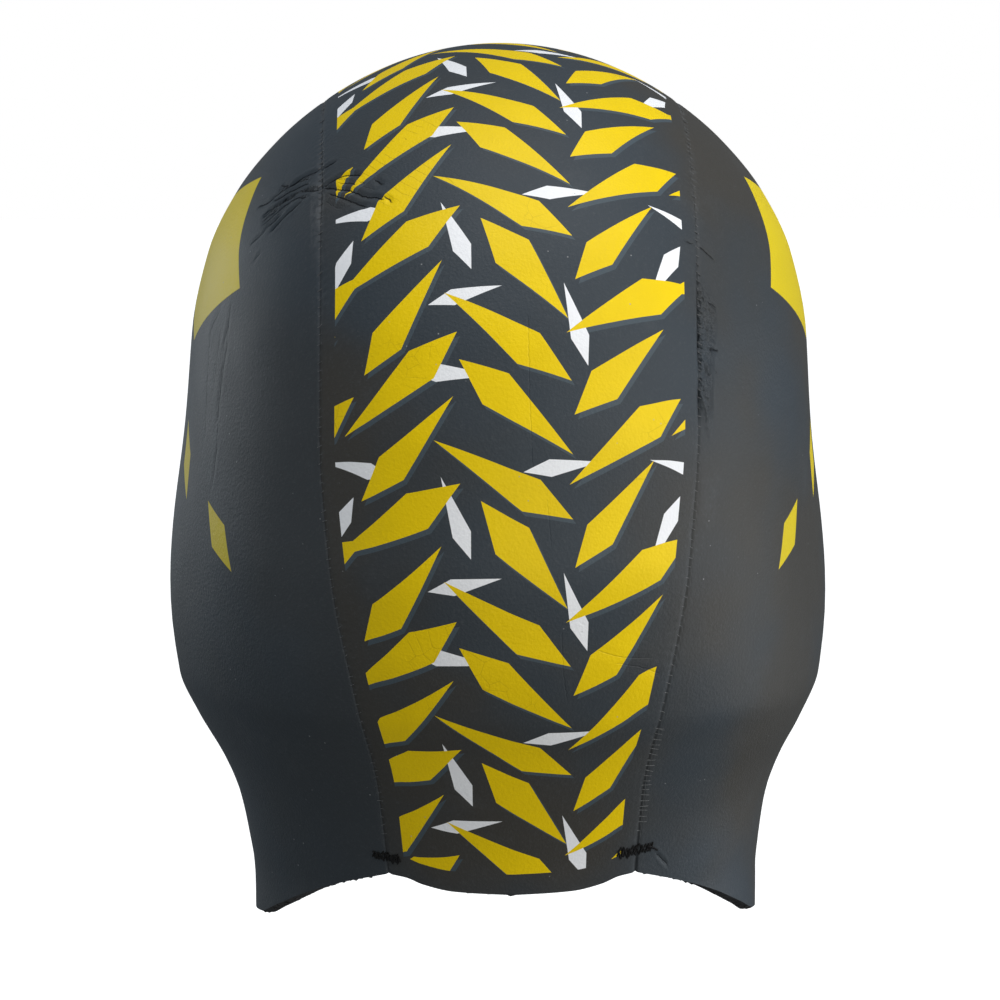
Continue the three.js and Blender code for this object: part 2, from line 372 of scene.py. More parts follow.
def side_sheet():
    share = spaced(ASIDE_REACH, ASIDE_STEPS)
    seam = unit(on_line(ALONG, np.ones_like(ALONG), SEAM_GAP / 2) - HEART)
    hem = unit(on_flap_hem(ALONG) - HEART)
    angle = np.arccos(np.clip(np.sum(seam * hem, axis=1), -1, 1))[:, None, None]
    share = share[None, :, None]
    direction = np.sin((1 - share) * angle) * seam[:, None] + np.sin(share * angle) * hem[:, None]
    direction = np.where(angle > TILT, direction, seam[:, None])
    return Sheet(leave(HEART, unit(direction)), False)


# Form of the seams, hems and folds
SEAM_DEPTH = 0.3 * MM
SEAM_ROUND = 0.7 * MM
STITCH_PITCH = 2.6 * MM
PUCKER_DEPTH = 0.14 * MM
PUCKER_FROM_SEAM = 1.5 * MM
PUCKER_WIDTH = 0.8 * MM
CUT_SLANT = 0.9 * MM
CUT_RAGGED = 0.2 * MM
CUT_STEPS = 3


# How much deeper a seam is drawn in than elsewhere, at places along it: millimetres, share
LEFT_SEAM_DRAWN_IN = [(0, 1.0), (180, 1.0), (199, 2.6), (212, 1.0), (380, 1.0), (403, 1.6)]
RIGHT_SEAM_DRAWN_IN = [(0, 1), (222, 1), (238, 3), (252, 3), (259, 1.2), (266, 2.4), (275, 1), (390, 1), (403, 2)]

# Creases on the flat sheets, in millimetres: depth, width, and the places that they run through as (across, along).
# Across is measured from the middle towards the left seam on the centre panel, and from the seam on a side panel.
CREASES = {
    "centre": [
        (0.45, 0.6, [(47.5, 191.5), (45, 192), (42.8, 192)]),
        (0.5, 0.6, [(47.5, 200), (46.5, 200), (43.3, 199.5), (42, 199.8), (38.5, 201.5), (36, 203.5)]),
        (0.5, 0.6, [(47.2, 200.6), (45.5, 201.6), (43.3, 204), (39, 207.5), (35.5, 211.5), (33, 212.6), (30.3, 214.6)]),
        (0.34, 0.6, [(45.5, 204), (43, 207), (40.5, 210), (37.5, 213), (34.6, 215.5)]),
        (0.34, 0.55, [(31, 213), (29.6, 214.6), (28, 216.6)]),
        (0.34, 0.55, [(33.2, 206.3), (31.6, 208.4), (30, 209.6)]),
        (0.24, 0.5, [(42.8, 202.2), (40, 204), (37.4, 206.4)]),
        (0.24, 0.5, [(37.2, 205.2), (34.6, 207)]),
        (0.2, 0.5, [(34, 204), (31.8, 204.6)]),
        (0.14, 0.6, [(46.6, 206), (44, 210), (41, 213.5)]),
        (0.1, 3.0, [(47.5, 199), (40, 204), (32, 211)]),
        (0.1, 2.0, [(-3.6, 250), (-4, 270), (-4.9, 287)]),
        (0.08, 0.7, [(-8, 291), (-9.4, 306)]),
        (0.1, 0.7, [(-11.6, 325), (-12, 335), (-13.2, 345)]),
        (0.1, 0.8, [(-19, 330.5), (-27, 334), (-35, 336)]),
        (0.1, 0.8, [(-24, 335), (-30, 337), (-37, 341)]),
        (0.3, 0.5, [(-43.5, 222), (-45.5, 221.8), (-47.4, 221)]),
        (0.06, 1.2, [(18, 372), (12, 374), (5, 377)]),
    ],
    "left_side": [
        (0.5, 0.6, [(0.2, 191.5), (2.6, 190), (6, 188.4), (9.7, 187), (13, 183)]),
        (0.5, 0.6, [(0.2, 200), (3.3, 197), (6.8, 193), (10.7, 191), (14, 189.2)]),
        (0.42, 0.6, [(3, 193.6), (6.5, 191.5), (10, 189.4), (16, 186.3)]),
        (0.32, 0.55, [(3, 192), (7, 189), (9.6, 187.4), (13, 186), (18, 184.2), (21.5, 181.5)]),
        (0.36, 0.6, [(7.6, 193.4), (11, 191.5), (15.2, 189.3), (20.4, 187.8)]),
        (0.28, 0.6, [(5, 197), (9, 194), (13, 192.5), (20.5, 190.8)]),
        (0.32, 0.5, [(4, 198.6), (7.2, 195.8)]),
        (0.3, 0.6, [(5.4, 198), (8, 197.6), (11.4, 196.8), (18.2, 196.3)]),
        (0.26, 0.55, [(12.4, 195), (16.2, 194.2), (20, 192.8)]),
        (0.2, 0.5, [(15.6, 189), (17.5, 188), (20.4, 187)]),
        (0.22, 0.5, [(14, 191.8), (17, 190.4), (20.8, 189.6)]),
        (0.18, 0.6, [(18.6, 193.8), (22.6, 192.6), (26, 191.8)]),
        (0.14, 0.6, [(21.4, 199), (25.8, 197.4)]),
        (0.1, 3.0, [(1, 197), (8, 192), (16, 188)]),
        (0.12, 0.7, [(37, 196.5), (45, 203.5), (56, 207), (65, 212.5), (74, 215)]),
        (0.1, 0.7, [(40, 200), (46, 201), (50.5, 204.5), (62, 209.5)]),
        (0.12, 0.7, [(43, 193), (51, 190.5), (64, 198.5), (73, 204)]),
        (0.08, 0.7, [(45, 197), (54, 200.5), (60, 203)]),
    ],
    "right_side": [
        (0.32, 0.5, [(0.2, 221), (2.5, 219.8), (4.6, 219), (7.5, 218.3)]),
        (0.26, 0.5, [(3.4, 234.6), (6, 232.6), (9, 230.8)]),
        (0.14, 0.5, [(5.5, 240.4), (8, 237.5)]),
        (0.32, 0.5, [(5.2, 246.6), (8, 243.8), (11, 241)]),
        (0.2, 0.5, [(9.2, 248.6), (11.4, 246.8)]),
        (0.16, 0.5, [(4, 255), (7.5, 252)]),
        (0.22, 0.7, [(15, 384.4), (20, 381.5), (26, 378.2)]),
    ],
}
CREASE_STEP = 0.5 * MM
CREASE_WOBBLE = 0.1 * MM
CREASE_NEAR = 1.8 * MM
CREASE_END = 1.6 * MM
CREASE_SETS = 3
FAR = 1.0


def seam_relief(sheet, name):
    """How far the skin sinks towards a seam and puckers at its stitches."""
    drawn_in = {"left_side": LEFT_SEAM_DRAWN_IN, "right_side": RIGHT_SEAM_DRAWN_IN}
    places, shares = np.array(drawn_in.get(name, LEFT_SEAM_DRAWN_IN)).T
    deeper = np.interp(sheet.along / MM, places, shares)
    if name == "centre":
        places, shares = np.array(RIGHT_SEAM_DRAWN_IN).T
        deeper = np.where(sheet.across > 0, deeper, np.interp(sheet.along / MM, places, shares))
    valley = -SEAM_DEPTH * deeper * np.exp(-((sheet.seam / SEAM_ROUND) ** 2))
    unsteady = 0.5 * np.sin(sheet.along / (7.3 * MM)) + 0.5 * np.sin(sheet.along / (3.1 * MM) + 1)
    beat = np.cos(2 * math.pi * sheet.along / STITCH_PITCH + 1.2 * unsteady)
    place = np.exp(-(((sheet.seam - PUCKER_FROM_SEAM) / PUCKER_WIDTH) ** 2))
    return valley - PUCKER_DEPTH * (0.75 + 0.5 * unsteady) * place * (0.5 + 0.5 * beat)


def crease_line(places, generator):
    """Points of a crease on the flat sheet, a little unsteady, and their runs along it."""
    places = np.array(places, float) * MM
    runs = np.concatenate([[0], np.cumsum(np.linalg.norm(np.diff(places, axis=0), axis=1))])
    fine = np.linspace(0, runs[-1], max(int(runs[-1] / CREASE_STEP), 4))
    line = np.stack([np.interp(fine, runs, column) for column in places.T], -1)
    rounded = line.copy()
    for _ in range(3):
        rounded[1:-1] = (rounded[:-2] + 2 * rounded[1:-1] + rounded[2:]) / 4
    return rounded + generator.normal(0, CREASE_WOBBLE, rounded.shape), fine


def from_line(places, line, runs):
    """Distance of places from a line of points, + on its left, and how far along the line they lie."""
    nearest = np.full(places.shape[:-1], np.inf)
    signed = nearest.copy()
    run = np.zeros_like(nearest)
    for k, (start, end) in enumerate(zip(line[:-1], line[1:])):
        way = end - start
        t = np.clip((places - start) @ way / (way @ way), 0, 1)
        off = places - start - t[..., None] * way
        distance = np.linalg.norm(off, axis=-1)
        side = np.where(way[0] * off[..., 1] - way[1] * off[..., 0] < 0, -1, 1)
        closer = distance < nearest
        nearest = np.where(closer, distance, nearest)
        signed = np.where(closer, distance * side, signed)
        run = np.where(closer, runs[k] + t * (runs[k + 1] - runs[k]), run)
    return signed, run


def creased(sheet, name):
    """The relief of a panel's creases, and for its finish, in a few sets, the distance from the nearest crease and
    how deep that one is."""
    generator = np.random.default_rng(11)
    relief = np.zeros(sheet.along.size)
    sets = [[np.full_like(relief, FAR), np.zeros_like(relief)] for _ in range(CREASE_SETS)]
    places = np.stack([sheet.across.ravel(), sheet.along.ravel()], -1)
    for number, (depth, width, through_places) in enumerate(CREASES[name]):
        line, runs = crease_line(through_places, generator)
        reach = 4 * width * MM + CREASE_NEAR
        low, high = line.min(axis=0) - reach, line.max(axis=0) + reach
        close = np.nonzero(np.all((places > low) & (places < high), axis=1))[0]
        distance, run = from_line(places[close], line, runs)
        taper = smooth(run / CREASE_END) * smooth((runs[-1] - run) / CREASE_END)
        over = np.abs(distance) / (width * MM)
        relief[close] += depth * MM * taper * (0.3 * np.exp(-((over - 2.1) ** 2)) - np.exp(-(over**2)))
        fine = sets[number % CREASE_SETS]
        fading = smooth((CREASE_NEAR - np.abs(distance)) / (0.6 * CREASE_NEAR))
        near = (np.abs(distance) < CREASE_NEAR) & (np.abs(distance) < np.abs(fine[0][close]))
        fine[0][close] = np.where(near, distance, fine[0][close])
        fine[1][close] = np.where(near, taper * fading * depth, fine[1][close])
    shape = sheet.along.shape
    return relief.reshape(shape), [[part.reshape(shape) for part in fine] for fine in sets]


def lean(points):
    """The points, leaning to the side as the worn cap does."""
    moved = points.copy()
    moved[..., 0] += lean_at(CROWN_TOP - points[..., 2])
    return moved


class Wall:
    """A closed mesh in the making: faces with their bake places and their finish."""

    def __init__(self):
        self.faces = []
        self.places = []
        self.finishes = []

    def patch(self, index, u, v, finish, turned=False):
        """Quads over a grid of vertex numbers, with a grid of bake places."""
        corners = [(slice(0, -1), slice(0, -1)), (slice(0, -1), slice(1, None)),
                   (slice(1, None), slice(1, None)), (slice(1, None), slice(0, -1))]
        if turned:
            corners = corners[::-1]
        quads = np.stack([index[c] for c in corners], -1).reshape(-1, 4)
        spots = np.stack([np.stack([u[c], v[c]], -1) for c in corners], -2).reshape(-1, 4, 2)
        self.faces.append(quads)
        self.places.append(spots)
        self.finishes.append(np.full(len(quads), finish))


def rim_path(rows, columns):
    """Grid places round the edge of a grid, closed."""
    top = [(0, j) for j in range(columns)]
    right = [(i, columns - 1) for i in range(1, rows)]
    bottom = [(rows - 1, j) for j in range(columns - 2, -1, -1)]
    left = [(i, 0) for i in range(rows - 2, -1, -1)]
    return np.array(top + right + bottom + left)


# Bake places on a panel's square, of the skin, the lining and the cut edge
BAKE_EDGE = 0.008
BAKE_SCALE = {"centre": 4.0, "side": 2.45}
BAKE_LINING_SCALE = 2.45
BAKE_CUT_SCALE = 2.2


def build_panel(name, sheet, mirrored, finishes):
    """A panel as one closed mesh: skin, lining and cut edge."""
    is_centre = name == "centre"
    rows, columns = sheet.along.shape
    generator = np.random.default_rng(len(name))
    creases, sheet.crease_sets = creased(sheet, name)
    relief = seam_relief(sheet, name) + creases
    outer = sheet.outer + sheet.normal * relief[..., None]
    inner = sheet.outer - sheet.normal * WALL
    hem_way = np.zeros_like(inner)
    if is_centre:
        hem_way[0] = unit(inner[0] - inner[1])
        hem_way[-1] = unit(inner[-1] - inner[-2])
    else:
        far = np.maximum(columns - 4, 1)
        hem_way[:, -1] = unit(inner[:, -1] - inner[:, far])
        short = sheet.hem[:, :1, None].repeat(columns, 1)[:, -1, 0] < 4 * CUT_SLANT
        hem_way[short, -1] = 0
    inner = inner + hem_way * CUT_SLANT
    path = rim_path(rows, columns)
    outer_rim = outer[path[:, 0], path[:, 1]]
    inner_rim = inner[path[:, 0], path[:, 1]]
    shares = np.linspace(0, 1, CUT_STEPS + 1)[1:-1, None, None]
    between = outer_rim + (inner_rim - outer_rim) * shares
    at_hem = np.linalg.norm(hem_way[path[:, 0], path[:, 1]], axis=-1)[None, :, None]
    ragged = generator.normal(0, CUT_RAGGED, between.shape) * at_hem
    ragged[:, -1] = ragged[:, 0]
    between = between + ragged
    points = np.concatenate([outer.reshape(-1, 3), inner.reshape(-1, 3), between[:, :-1].reshape(-1, 3)])
    points = lean(points * (-1, 1, 1) if mirrored else points)
    count = rows * columns
    number = np.arange(count).reshape(rows, columns)
    ring = number[path[:, 0], path[:, 1]]
    middle = 2 * count + np.arange((CUT_STEPS - 1) * (len(path) - 1)).reshape(CUT_STEPS - 1, -1)
    middle = np.concatenate([middle, middle[:, :1]], axis=1)
    rings = np.concatenate([ring[None], middle, ring[None] + count])
    wall = Wall()
    side = sheet.across - sheet.across.min()
    if is_centre:
        scale = BAKE_SCALE["centre"]
        half = rows // 2
        strip = BAKE_EDGE * 2 + side.max() * scale
        for first, last, shift in ((0, half, 0.0), (half, rows - 1, strip)):
            part = slice(first, last + 1)
            up = (sheet.along[part] - sheet.along[first, 0]) * scale + BAKE_EDGE
            wall.patch(number[part], side[part] * scale + BAKE_EDGE + shift, up, 0, mirrored)
        lining_left = 2 * strip + BAKE_EDGE
    else:
        scale = BAKE_SCALE["side"]
        wall.patch(number, side * scale + BAKE_EDGE, sheet.along * scale + BAKE_EDGE, 0, mirrored)
        lining_left = side.max() * scale + 3 * BAKE_EDGE
    lining_u = side * BAKE_LINING_SCALE + lining_left
    wall.patch(number + count, lining_u, sheet.along * BAKE_LINING_SCALE + BAKE_EDGE, 1, not mirrored)
    wall_rim(wall, rings, outer_rim, mirrored)
    return finish_mesh(name + "_neoprene", points, wall, sheet, path, finishes)


def wall_rim(wall, rings, outer_rim, mirrored):
    """The cut edge, laid in rows on the right of the bake square."""
    run = np.concatenate([[0], np.cumsum(np.linalg.norm(np.diff(outer_rim, axis=0), axis=1))])
    lane = np.floor(run * BAKE_CUT_SCALE / (1 - 2 * BAKE_EDGE)).astype(int)
    for number in range(lane.max() + 1):
        inside_lane = np.nonzero(lane == number)[0]
        last = min(inside_lane[-1] + 1, len(run) - 1)
        part = slice(inside_lane[0], last + 1)
        v = (run[part] - run[inside_lane[0]]) * BAKE_CUT_SCALE * 0.99 + BAKE_EDGE
        u = 1 - BAKE_EDGE - (number * (CUT_STEPS + 1) + np.arange(CUT_STEPS + 1)) * WALL
        grid_u, grid_v = np.broadcast_arrays(u[:, None], v[None])
        wall.patch(rings[:, part], grid_u, grid_v, 2, not mirrored)


def finish_mesh(name, points, wall, sheet, path, finishes):
    """The object of a closed mesh with its finishes, places on the flat sheet and bake places."""
    faces = np.concatenate(wall.faces)
    mesh = bpy.data.meshes.new(name)
    mesh.vertices.add(len(points))
    mesh.vertices.foreach_set("co", points.astype(np.float32).ravel())
    mesh.loops.add(faces.size)
    mesh.loops.foreach_set("vertex_index", faces.ravel().astype(np.int32))
    mesh.polygons.add(len(faces))
    mesh.polygons.foreach_set("loop_start", np.arange(0, faces.size, 4, dtype=np.int32))
    mesh.polygons.foreach_set("loop_total", np.full(len(faces), 4, np.int32))
    mesh.polygons.foreach_set("material_index", np.concatenate(wall.finishes).astype(np.int32))
    mesh.polygons.foreach_set("use_smooth", np.ones(len(faces), bool))
    bake = mesh.uv_layers.new(name="OFBake")
    bake.data.foreach_set("uv", np.concatenate(wall.places).reshape(-1).astype(np.float32))
    grids = {label: getattr(sheet, label) for label in ("across", "along", "seam", "hem")}
    for number, (distance, depth) in enumerate(sheet.crease_sets):
        grids[f"crease_{number}"] = distance
        grids[f"crease_depth_{number}"] = depth
    for label, grid in grids.items():
        ring = grid[path[:-1, 0], path[:-1, 1]]
        values = np.concatenate([grid.ravel(), grid.ravel()] + [ring] * (CUT_STEPS - 1))
        attribute = mesh.attributes.new(label, "FLOAT", "POINT")
        attribute.data.foreach_set("value", values.astype(np.float32))
    mesh.update(calc_edges=True)
    merge_corners(mesh)
    mesh.set_sharp_from_angle(angle=math.radians(55))
    for finish in finishes:
        mesh.materials.append(finish)
    piece = bpy.data.objects.new(name, mesh)
    bpy.context.scene.collection.objects.link(piece)
    return piece


def merge_corners(mesh):
    """Joins the points that meet in the corner where a side panel's seam and hem come together."""
    work = bmesh.new()
    work.from_mesh(mesh)
    bmesh.ops.remove_doubles(work, verts=work.verts, dist=1e-7)
    bmesh.ops.dissolve_degenerate(work, edges=work.edges, dist=1e-7)
    work.to_mesh(mesh)
    work.free()


# Shader tools


class Value:
    """A value in a node tree. An expression on values adds its Math nodes."""

    def __init__(self, finish, socket):
        self.finish = finish
        self.socket = socket

    def math(self, operation, *others):
        sockets = dict(enumerate((self, *others)))
        return self.finish.node("ShaderNodeMath", {"operation": operation}, sockets)

    def __add__(self, other):
        return self.math("ADD", other)

    def __radd__(self, other):
        return self.math("ADD", other)

    def __sub__(self, other):
        return self.math("SUBTRACT", other)

    def __rsub__(self, other):
        return self.finish.node("ShaderNodeMath", {"operation": "SUBTRACT"}, {0: other, 1: self})

    def __mul__(self, other):
        return self.math("MULTIPLY", other)

    def __rmul__(self, other):
        return self.math("MULTIPLY", other)

    def __truediv__(self, other):
        return self.math("DIVIDE", other)

    def __abs__(self):
        return self.math("ABSOLUTE")

    def least(self, other):
        return self.math("MINIMUM", other)

    def most(self, other):
        return self.math("MAXIMUM", other)

    def rise(self, low, high):
        """0 below low, 1 above high and smooth between them; the other way round where high is below low."""
        settings = {"interpolation_type": "SMOOTHSTEP"}
        return self.finish.node("ShaderNodeMapRange", settings, {0: self, 1: low, 2: high, 3: 0.0, 4: 1.0})


class Finish:
    """A material and its nodes."""

    def __init__(self, name):
        self.material = bpy.data.materials.new(name)
        self.material.use_nodes = True
        self.tree = self.material.node_tree
        self.tree.nodes.clear()

    def node(self, kind, settings, sockets, output=0):
        """Adds a node: first its settings, then the values or links of its sockets."""
        node = self.tree.nodes.new(kind)
        for name, value in settings.items():
            if name == "stops":
                while len(node.color_ramp.elements) < len(value):
                    node.color_ramp.elements.new(1.0)
                for element, (place, colour) in zip(node.color_ramp.elements, value):
                    element.position = place
                    element.color = (*colour, 1.0)
            else:
                setattr(node, name, value)
        for name, value in sockets.items():
            if isinstance(value, Value):
                self.tree.links.new(value.socket, node.inputs[name])
            else:
                node.inputs[name].default_value = value
        return Value(self, node.outputs[output]) if node.outputs else None

    def place(self, label):
        """A place on the flat sheet, in metres."""
        return self.node("ShaderNodeAttribute", {"attribute_name": label}, {}, "Fac")

    def position(self):
        return self.node("ShaderNodeTexCoord", {}, {}, "Object")

    def noise(self, scale, detail=2.0, vector=None, **sockets):
        inputs = {"Vector": vector or self.position(), "Scale": scale, "Detail": detail}
        inputs.update(sockets)
        return self.node("ShaderNodeTexNoise", {}, inputs)

    def vector_math(self, operation, *others, output=0):
        return self.node("ShaderNodeVectorMath", {"operation": operation}, dict(enumerate(others)), output)

    def mix(self, factor, first, second):
        """A colour between two."""
        colours = [c if isinstance(c, Value) else (*c, 1.0) for c in (first, second)]
        sockets = {0: factor, 6: colours[0], 7: colours[1]}
        return self.node("ShaderNodeMix", {"data_type": "RGBA"}, sockets, 2)

    def bump(self, height, strength, distance, normal=None):
        sockets = {"Height": height, "Strength": strength, "Distance": distance}
        if normal is not None:
            sockets["Normal"] = normal
        return self.node("ShaderNodeBump", {}, sockets)

    def surface(self, sockets):
        shader = self.node("ShaderNodeBsdfPrincipled", {}, sockets)
        self.node("ShaderNodeOutputMaterial", {}, {"Surface": shader})
        return self.material


# Colours as linear light
SKIN_COOL = (0.036, 0.046, 0.057)
SKIN_WARM = (0.046, 0.044, 0.040)
SKIN_PALE = (0.085, 0.092, 0.10)
# Painted shade for the bottom of the creases
CREASE_PAINTED_SHADE = (0.008, 0.010, 0.013)
# Strength of the warm clouds on each panel: the clouds are random tone, and the weaker strength on the left panel is a
# painted light tint that stands for the cooler light on that side
CLOUD_WARMTH_AND_LIGHT_TINT = {"centre": 1.0, "left_side": 0.35, "right_side": 1.0}
INK_YELLOW = (0.80, 0.575, 0.0)
INK_YELLOW_CRACK = (0.45, 0.31, 0.002)
# Yellow of the side marks, darker and greener as painted shade for the dimmer, bluer light on the sides
INK_YELLOW_PAINTED_SHADE = (0.66, 0.52, 0.01)
INK_WHITE = (0.82, 0.84, 0.88)
INK_SHADOW = (0.058, 0.078, 0.095)
DUST = (0.35, 0.36, 0.37)
SHEEN_LEVEL = 0.2

# The print: leaning kites that repeat over a cell. Millimetres: across, along, length, width, place of the widest
# point as a share of the length, angle in degrees
PRINT_CELL = (81 * MM, 69 * MM)
YELLOW_KITES = [
    (-28, 3, 37, 9.5, 0.30, 38),
    (-25, 21, 33, 8.0, 0.70, 52),
    (-29, 38, 38, 10.0, 0.34, 30),
    (-26, 55, 33, 9.0, 0.68, 46),
    (-1, -4, 35, 9.5, 0.68, -40),
    (2, 13, 38, 8.5, 0.30, -30),
    (-3, 31, 33, 10.0, 0.64, -52),
    (1, 48, 37, 9.0, 0.34, -36),
    (25, 6, 34, 8.5, 0.66, 48),
    (28, 24, 38, 10.0, 0.32, 32),
    (26, 42, 33, 9.0, 0.70, 54),
    (27, 59, 37, 9.5, 0.30, 40),
]
WHITE_KITES = [
    (-38, 27, 21, 4.6, 0.30, 64),
    (-12, 10, 19, 4.2, 0.66, 8),
    (-15, 45, 21, 4.6, 0.34, -74),
    (13, 22, 21, 4.6, 0.30, -70),
    (14, 57, 20, 4.4, 0.68, -6),
    (38, 10, 19, 4.4, 0.30, -12),
    (11, 38, 18, 4.2, 0.66, 12),
]
PRINT_SHADOW = (-0.8 * MM, 1.1 * MM)
PRINT_FROM_SEAM = 4.6 * MM
PRINT_FROM_HEM = 6.0 * MM
PRINT_EDGE = 0.06 * MM


# Plain marks on a side panel, seen square from the side. Millimetres: forward to back, height, length, width, place
# of the widest point, angle
SIDE_KITE = (16, -49, 74, 42, 0.62, -12)
SIDE_DASHES = [
    (53, -117, 21, 9.5, 0.5, -50),
    (23, -101, 21, 9.5, 0.5, -70),
    (-6, -95, 21, 9.5, 0.5, -88),
    (-35, -101, 21, 9.5, 0.5, -108),
    (-60, -117, 21, 9.5, 0.5, -126),
]
WIDE_OPEN = (1.0, 1.0)


def kite(finish, spot, row, cell, shift=(0.0, 0.0)):
    """How deep a place lies inside a kite that repeats over a cell, in metres, below 0 outside it."""
    across, along, length, width, widest, angle = row
    lengthwise = (math.cos(math.radians(angle)), math.sin(math.radians(angle)), 0)
    sideways = (-lengthwise[1], lengthwise[0], 0)
    tail = length * MM * widest
    nose = length * MM - tail
    half = width * MM / 2
    offset = (nose - tail) / 2
    centre = (
        across * MM - offset * lengthwise[0] + shift[0],
        along * MM - offset * lengthwise[1] + shift[1],
        0,
    )
    reach = (cell[0] / 2, cell[1] / 2, 1)
    local = finish.vector_math("SUBTRACT", spot, centre)
    local = finish.vector_math("WRAP", local, reach, tuple(-r for r in reach))
    p = finish.vector_math("DOT_PRODUCT", local, lengthwise, output="Value")
    q = abs(finish.vector_math("DOT_PRODUCT", local, sideways, output="Value"))
    nose_norm = math.hypot(1 / nose, 1 / half)
    tail_norm = math.hypot(1 / tail, 1 / half)
    to_nose = 1 / nose_norm - p * (1 / nose / nose_norm) - q * (1 / half / nose_norm)
    to_tail = 1 / tail_norm + p * (1 / tail / tail_norm) - q * (1 / half / tail_norm)
    return to_nose.least(to_tail)


def kites(finish, spot, rows, cell, shift=(0.0, 0.0)):
    """How much of a place some kites cover, 0 to 1."""
    depth = kite(finish, spot, rows[0], cell, shift)
    for row in rows[1:]:
        depth = depth.most(kite(finish, spot, row, cell, shift))
    return depth.rise(0.0, PRINT_EDGE)


def bare_skin(finish, warmth_and_light_tint):
    """Colour, roughness and relief of smooth-skin neoprene, with warm clouds of random tone whose strength is partly a
    painted light tint.
    """
    cloud = finish.noise(13.0, 3.0).rise(0.38, 0.62) * warmth_and_light_tint
    colour = finish.mix(cloud, SKIN_COOL, SKIN_WARM)
    scuff = finish.noise(38.0, 6.0, Roughness=0.75).rise(0.55, 0.8)
    colour = finish.mix(scuff * 0.35, colour, SKIN_PALE)
    rough = 0.47 + 0.12 * finish.noise(55.0, 4.0)
    grain = finish.noise(1100.0, 4.0, Roughness=0.7)
    pores = finish.node("ShaderNodeTexVoronoi", {}, {"Vector": finish.position(), "Scale": 1300.0})
    colour = finish.mix(grain.rise(0.5, 0.8) * 0.3, colour, SKIN_PALE)
    height = grain * 0.8 + pores * 0.3 + finish.noise(140.0, 3.0) * 0.2
    return colour, rough, finish.bump(height, 0.32, 0.0004)


def fine_creases(finish, colour, normal):
    """The sharp lines at the bottom of the creases: painted shade darkens the skin along them, and a bump sinks them.
    """
    crease_shade_and_dip = None
    for number in range(CREASE_SETS):
        distance = finish.place(f"crease_{number}") + (finish.noise(1200.0, 2.0) - 0.5) * 0.00025
        sharp = (distance * distance * (-1 / CREASE_LINE**2)).math("EXPONENT")
        sharp = sharp * finish.place(f"crease_depth_{number}").rise(0.0, 0.4)
        crease_shade_and_dip = sharp if crease_shade_and_dip is None else crease_shade_and_dip.most(sharp)
    # Painted shade: the skin is darkened along the crease lines
    colour = finish.mix(crease_shade_and_dip * 0.9, colour, CREASE_PAINTED_SHADE)
    return colour, finish.bump(1 - crease_shade_and_dip, 1.0, 0.0004, normal)


CREASE_LINE = 0.15 * MM
SCUFF_ALONG = (190 * MM, 232 * MM)
SCUFF_WIDTH = 3.6 * MM
SHRUNK_ALONG = (228 * MM, 272 * MM)
SHRUNK_WIDTH = 10.0 * MM
INK_CRACK_TURN = math.radians(42)
INK_CRACK_PITCH = 2.3 * MM


def centre_print(finish, colour, rough, normal):
    """The screen print of the centre panel: shadows, white and yellow, with cracks and chips in the ink."""
    across, along = finish.place("across"), finish.place("along")
    spot = finish.node("ShaderNodeCombineXYZ", {}, {0: across, 1: along, 2: 0.0})
    yellow = kites(finish, spot, YELLOW_KITES, PRINT_CELL)
    white = kites(finish, spot, WHITE_KITES, PRINT_CELL)
    shade = kites(finish, spot, YELLOW_KITES, PRINT_CELL, PRINT_SHADOW)
    border = finish.place("seam").rise(PRINT_FROM_SEAM, PRINT_FROM_SEAM + PRINT_EDGE)
    border = border * finish.place("hem").rise(PRINT_FROM_HEM, PRINT_FROM_HEM + PRINT_EDGE)
    chips = finish.noise(300.0, 5.0, Roughness=0.8).rise(0.24, 0.27)
    ink = border * chips
    cells = finish.node(
        "ShaderNodeTexVoronoi",
        {"feature": "DISTANCE_TO_EDGE"},
        {"Vector": finish.position(), "Scale": 210.0},
    )
    cracked = cells.rise(0.03, 0.0) * finish.noise(28.0, 3.0).rise(0.56, 0.64) * 0.6
    lengthwise = across * math.cos(INK_CRACK_TURN) + along * math.sin(INK_CRACK_TURN)
    lengthwise = lengthwise + finish.noise(180.0, 3.0) * 0.0022
    wave = abs((lengthwise * (math.pi / INK_CRACK_PITCH)).math("SINE"))
    drawn = wave.rise(0.2, 0.0) * finish.noise(220.0, 2.0).rise(0.38, 0.5)
    drawn = drawn * across.rise(0.006, 0.014) * along.rise(0.186, 0.192) * along.rise(0.222, 0.212)
    cracked = cracked.most(drawn)
    mottle = finish.noise(70.0, 4.0).rise(0.3, 0.75)
    fresh = finish.mix(mottle * 0.14, INK_YELLOW, INK_YELLOW_CRACK)
    fresh = finish.mix(cracked * 0.7, fresh, INK_YELLOW_CRACK)
    colour = finish.mix(shade * ink, colour, INK_SHADOW)
    colour = finish.mix(white * ink, colour, INK_WHITE)
    colour = finish.mix(yellow * ink, colour, fresh)
    covered = yellow.most(white).most(shade) * ink
    return colour, rough - 0.05 * covered, finish.bump(1 - cracked, 0.3, 0.00008, normal)


def side_marks(finish, colour, rough, normal):
    """A plain kite with an arch of dashes under it, in a yellow darkened as painted shade."""
    spot = finish.node("ShaderNodeSeparateXYZ", {}, {0: finish.position()}, "Y")
    height = Value(finish, spot.socket.node.outputs["Z"])
    square = finish.node("ShaderNodeCombineXYZ", {}, {0: spot, 1: height, 2: 0.0})
    ink = kites(finish, square, [SIDE_KITE] + SIDE_DASHES, WIDE_OPEN)
    # Painted shade: the side marks take a darker yellow than the print, for the dimmer light on the sides
    colour = finish.mix(ink, colour, INK_YELLOW_PAINTED_SHADE)
    return colour, rough - 0.05 * ink, finish.bump(ink, 0.5, 0.00008, normal)


